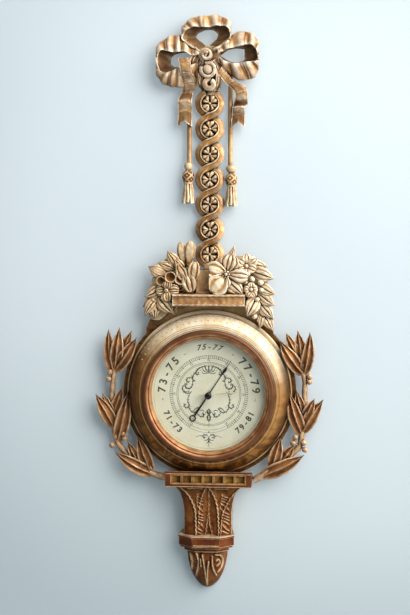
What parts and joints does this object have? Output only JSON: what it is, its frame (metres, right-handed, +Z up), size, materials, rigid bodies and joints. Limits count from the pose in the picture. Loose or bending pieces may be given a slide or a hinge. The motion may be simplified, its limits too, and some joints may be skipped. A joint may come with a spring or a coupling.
{
  "type": "aneroid wall barometer",
  "caption": "Carved gilt-wood aneroid wall barometer with a ribbon bow, guilloche neck, bouquets, laurels and console.",
  "frame": {"origin": "centre of the hole in the hanging plate, on the wall plane", "axes": "+X to the viewer's right, +Y into the wall, +Z up; the dial faces -Y and its centre is 479.8 mm below the origin"},
  "size_m": [0.3465, 0.0501, 0.8685],
  "materials": {
    "gilt_wood": "carved limewood, water-gilded over red bole and rubbed at the edges",
    "dark_gilt_wood": "the same gilding, toned darker with more bole showing",
    "bare_wood": "stained softwood at the back, painted dark gold on its edge",
    "gilt_bezel": "coppery gilt metal, polished and slightly tarnished",
    "polished_brass": "turned and polished brass",
    "spun_brass": "spun brass sheet with fine turning lines",
    "capsule_metal": "nickelled copper alloy, satin",
    "cast_bridge": "japanned iron casting",
    "screw_steel": "turned steel",
    "blued_steel": "blued spring steel",
    "dark_knob": "black lacquered brass",
    "printed_dial": "cream enamel with grey-black print",
    "clear_glass": "flat clear glass"
  },
  "bodies": {
    "case": {"backboard": "bare_wood", "case_ring": "gilt_wood", "bezel": "gilt_bezel", "glass": "clear_glass", "glass_bush": "polished_brass", "dial_plate": "printed_dial", "sight_ring": "gilt_bezel", "movement_case": "spun_brass", "base_plate": "spun_brass", "base_screws": "screw_steel", "dial_pillars": "polished_brass", "capsule": "capsule_metal", "bridge": "cast_bridge", "spring_screws": "screw_steel", "shaft_cocks": "polished_brass", "chain": "screw_steel", "lower_cock": "polished_brass", "upper_cock": "polished_brass", "lower_pillars": "polished_brass", "upper_pillars": "polished_brass", "hairspring": "blued_steel", "lintel": "gilt_wood", "neck": "gilt_wood", "neck_base": "dark_gilt_wood", "crest_block": "dark_gilt_wood", "bow_knot": "gilt_wood", "bow_loop_top": "gilt_wood", "bow_loop_left": "gilt_wood", "bow_loop_right": "gilt_wood", "ribbon_tail_left": "gilt_wood", "ribbon_tail_right": "gilt_wood", "carved_cord_left": "dark_gilt_wood", "carved_cord_right": "dark_gilt_wood", "tassel_left": "gilt_wood", "tassel_right": "gilt_wood", "bouquet_left": "gilt_wood", "bouquet_right": "gilt_wood", "laurel_left": "gilt_wood", "laurel_right": "gilt_wood", "frieze_block": "dark_gilt_wood", "console": "dark_gilt_wood", "console_band": "dark_gilt_wood", "pendant": "dark_gilt_wood", "hanger_plate": "screw_steel", "hanger_screws": "screw_steel"},
    "hand": {"pressure_hand": "blued_steel", "hand_arbor": "screw_steel"},
    "rocker": {"rocking_shaft": "screw_steel"},
    "lever": {"lever_arm": "screw_steel", "capsule_post": "screw_steel", "main_spring": "blued_steel"},
    "setting_hand": {"set_hand": "polished_brass", "set_knob": "dark_knob"},
    "adjuster": {"adjusting_screw": "screw_steel"}
  },
  "joints": [
    {"name": "hand_turn", "type": "hinge", "parent": "case", "child": "hand", "pos_m": [0, -0.03, -0.4798], "axis": [0, 1, 0], "range_deg": [-183.4, 116.6], "stiffness_Nm_per_rad": 0.01, "deforming": ["hairspring", "chain"]},
    {"name": "rocker_turn", "type": "hinge", "parent": "case", "child": "rocker", "pos_m": [0.044, -0.014, -0.4798], "axis": [0, 0, 1], "range_deg": [-13.2, 20.5]},
    {"name": "lever_lift", "type": "hinge", "parent": "case", "child": "lever", "pos_m": [-0.052, -0.0236, -0.4958], "axis": [0, 0, 1], "range_deg": [-1.15, 0.75], "deforming": ["main_spring", "capsule"]},
    {"name": "set_hand_turn", "type": "hinge", "parent": "case", "child": "setting_hand", "pos_m": [0, -0.043, -0.4798], "axis": [0, 1, 0], "continuous": true},
    {"name": "adjust_turn", "type": "hinge", "parent": "case", "child": "adjuster", "pos_m": [-0.057, -0.01, -0.4958], "axis": [0, 1, 0], "range_deg": [-360, 360]}
  ],
  "couplings": [
    {"joint": "rocker_turn", "follows": "hand_turn", "ratio": -0.10909},
    {"joint": "lever_lift", "follows": "hand_turn", "ratio": 0.005994}
  ]
}
